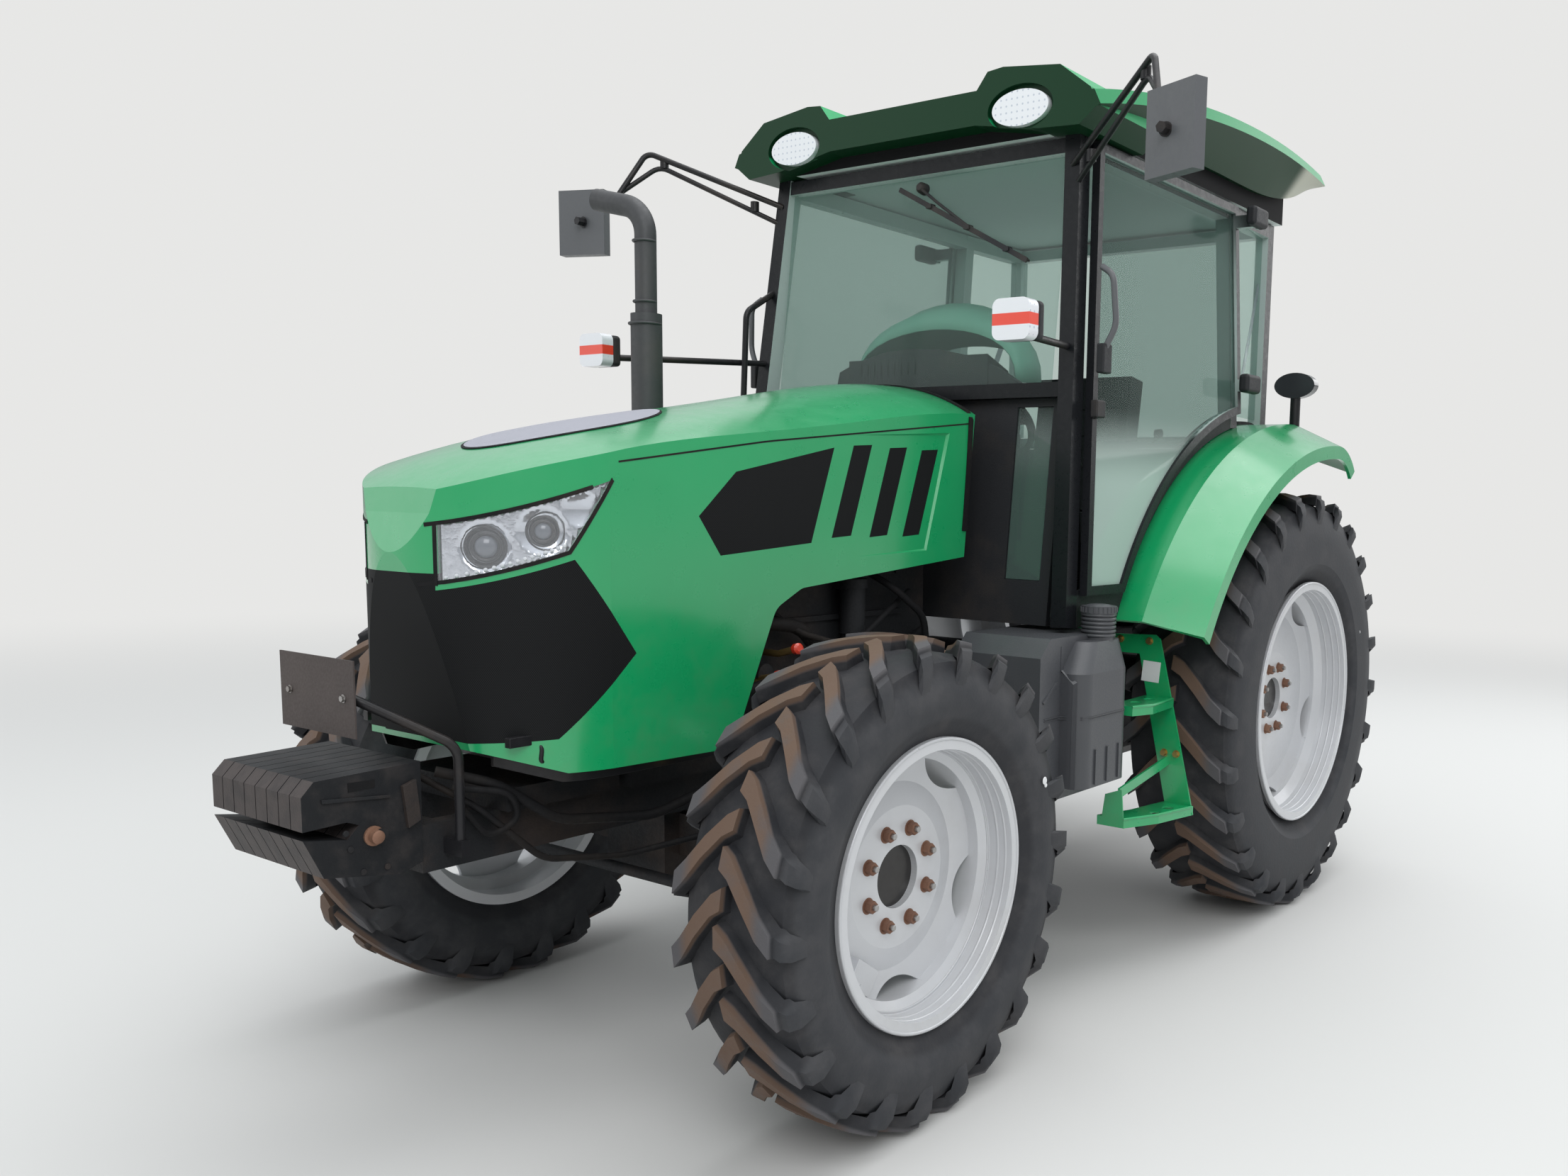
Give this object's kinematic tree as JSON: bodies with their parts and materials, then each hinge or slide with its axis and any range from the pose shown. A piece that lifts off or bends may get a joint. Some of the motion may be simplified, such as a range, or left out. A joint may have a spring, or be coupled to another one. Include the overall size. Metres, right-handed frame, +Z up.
{
  "type": "farm tractor",
  "caption": "Farm tractor with a closed cab, bar-lug tyres, steered front axle, opening hood and doors, front weights and a rear three-point lift.",
  "frame": {"origin": "on the ground under the middle of the whole machine", "axes": "+X forward along the machine, +Y to its left, +Z up"},
  "size_m": [5.0999, 2.8134, 3.2493],
  "materials": {
    "green_panel": "gloss paint, a little dusty",
    "black_mesh": "fine mesh",
    "lamp_lens": "clear lens over chrome",
    "lamp_white": "white lenses in dark housings",
    "cab_paint": "dark grey paint",
    "dark_plastic": "grained dark plastic",
    "tinted_glass": "green tinted safety glass",
    "seat_cloth": "dark woven cloth",
    "soft_black": "soft moulded rim",
    "black_steel": "satin black paint",
    "cast_grey": "dark painted casting with dust",
    "bright_steel": "worn steel",
    "weight_iron": "dark grey paint, dusty brown front edges",
    "plate_paint": "dull brown grey, blank",
    "radiator_core": "finned core",
    "filter_paint": "satin",
    "tank_plastic": "moulded black plastic",
    "exhaust_steel": "heat-proof dark paint",
    "tyre": "worn black with brown dust",
    "rim_silver": "silver paint"
  },
  "bodies": {
    "chassis": {"fenders": "green_panel", "roof": "green_panel", "headliner": "dark_plastic", "lamps": "lamp_white", "cab_frame": "cab_paint", "cab_floor": "dark_plastic", "dashboard": "dark_plastic", "mirror_heads": "dark_plastic", "cab_glass": "tinted_glass", "seat": "seat_cloth", "arms": "black_steel", "engine_block": "cast_grey", "transmission": "cast_grey", "front_axle": "cast_grey", "front_support": "cast_grey", "pto_shaft": "bright_steel", "drawbar": "black_steel", "front_weights": "weight_iron", "number_plate": "plate_paint", "plate_bracket": "black_steel", "radiator": "radiator_core", "fuel_filter": "filter_paint", "side_tanks": "tank_plastic", "steps": "green_panel", "exhaust": "exhaust_steel"},
    "hood": {"hood_shell": "green_panel", "grilles": "black_mesh", "headlights": "lamp_lens"},
    "door_left": {"door_frame_left": "cab_paint", "door_glass_left": "tinted_glass"},
    "door_right": {"door_frame_right": "cab_paint", "door_glass_right": "tinted_glass"},
    "knuckle_left": {"knuckle_left": "cast_grey"},
    "knuckle_right": {"knuckle_right": "cast_grey"},
    "track_rod": {"track_rod": "bright_steel"},
    "front_wheel_left": {"front_tyre_left": "tyre", "front_rim_left": "rim_silver"},
    "front_wheel_right": {"front_tyre_right": "tyre", "front_rim_right": "rim_silver"},
    "rear_wheel_left": {"rear_tyre_left": "tyre", "rear_rim_left": "rim_silver"},
    "rear_wheel_right": {"rear_tyre_right": "tyre", "rear_rim_right": "rim_silver"},
    "steering_wheel": {"steering_wheel": "soft_black"},
    "lift_arms": {"lift_arms": "black_steel"},
    "lift_rods": {"lift_rods": "bright_steel"},
    "lower_links": {"lower_links": "black_steel"}
  },
  "joints": [
    {"name": "steer_left", "type": "hinge", "parent": "chassis", "child": "knuckle_left", "pos_m": [1.3, 0.7, 0.667], "axis": [0, 0, 1], "range_deg": [-32, 32]},
    {"name": "steer_right", "type": "hinge", "parent": "chassis", "child": "knuckle_right", "pos_m": [1.3, -0.7, 0.667], "axis": [0, 0, 1], "range_deg": [-32, 32]},
    {"name": "track_rod_turn", "type": "hinge", "parent": "knuckle_left", "child": "track_rod", "pos_m": [1.505, 0.7, 0.575], "axis": [0, 0, 1], "range_deg": [-32, 32]},
    {"name": "front_left_spin", "type": "hinge", "parent": "knuckle_left", "child": "front_wheel_left", "pos_m": [1.3, 0.915, 0.667], "axis": [0, 1, 0], "continuous": true},
    {"name": "front_right_spin", "type": "hinge", "parent": "knuckle_right", "child": "front_wheel_right", "pos_m": [1.3, -0.915, 0.667], "axis": [0, 1, 0], "continuous": true},
    {"name": "rear_left_spin", "type": "hinge", "parent": "chassis", "child": "rear_wheel_left", "pos_m": [-1.25, 0.915, 0.8775], "axis": [0, 1, 0], "continuous": true},
    {"name": "rear_right_spin", "type": "hinge", "parent": "chassis", "child": "rear_wheel_right", "pos_m": [-1.25, -0.915, 0.8775], "axis": [0, 1, 0], "continuous": true},
    {"name": "door_left_swing", "type": "hinge", "parent": "chassis", "child": "door_left", "pos_m": [-1.202, 0.83, 1.8], "axis": [0, 0, 1], "range_deg": [0, 75]},
    {"name": "door_right_swing", "type": "hinge", "parent": "chassis", "child": "door_right", "pos_m": [-1.202, -0.83, 1.8], "axis": [0, 0, -1], "range_deg": [0, 75]},
    {"name": "hood_lift", "type": "hinge", "parent": "chassis", "child": "hood", "pos_m": [0.28, 0, 2.035], "axis": [0, -1, 0], "range_deg": [0, 50]},
    {"name": "steering_wheel_turn", "type": "hinge", "parent": "chassis", "child": "steering_wheel", "pos_m": [-0.45, 0, 2.015], "axis": [-0.6753, 0, 0.7375], "continuous": true},
    {"name": "lift_raise", "type": "hinge", "parent": "chassis", "child": "lift_arms", "pos_m": [-1.58, 0, 1.09], "axis": [0, 1, 0], "range_deg": [-10, 35]},
    {"name": "link_raise", "type": "hinge", "parent": "chassis", "child": "lower_links", "pos_m": [-1.43, 0, 0.61], "axis": [0, 1, 0], "range_deg": [-10, 35]},
    {"name": "lift_rod_turn", "type": "hinge", "parent": "lift_arms", "child": "lift_rods", "pos_m": [-1.99699, 0, 1.03981], "axis": [0, 1, 0], "range_deg": [-35, 10]}
  ],
  "couplings": [
    {"joint": "steer_right", "follows": "steer_left", "ratio": 1},
    {"joint": "track_rod_turn", "follows": "steer_left", "ratio": -1},
    {"joint": "link_raise", "follows": "lift_raise", "ratio": 1},
    {"joint": "lift_rod_turn", "follows": "lift_raise", "ratio": -1}
  ]
}
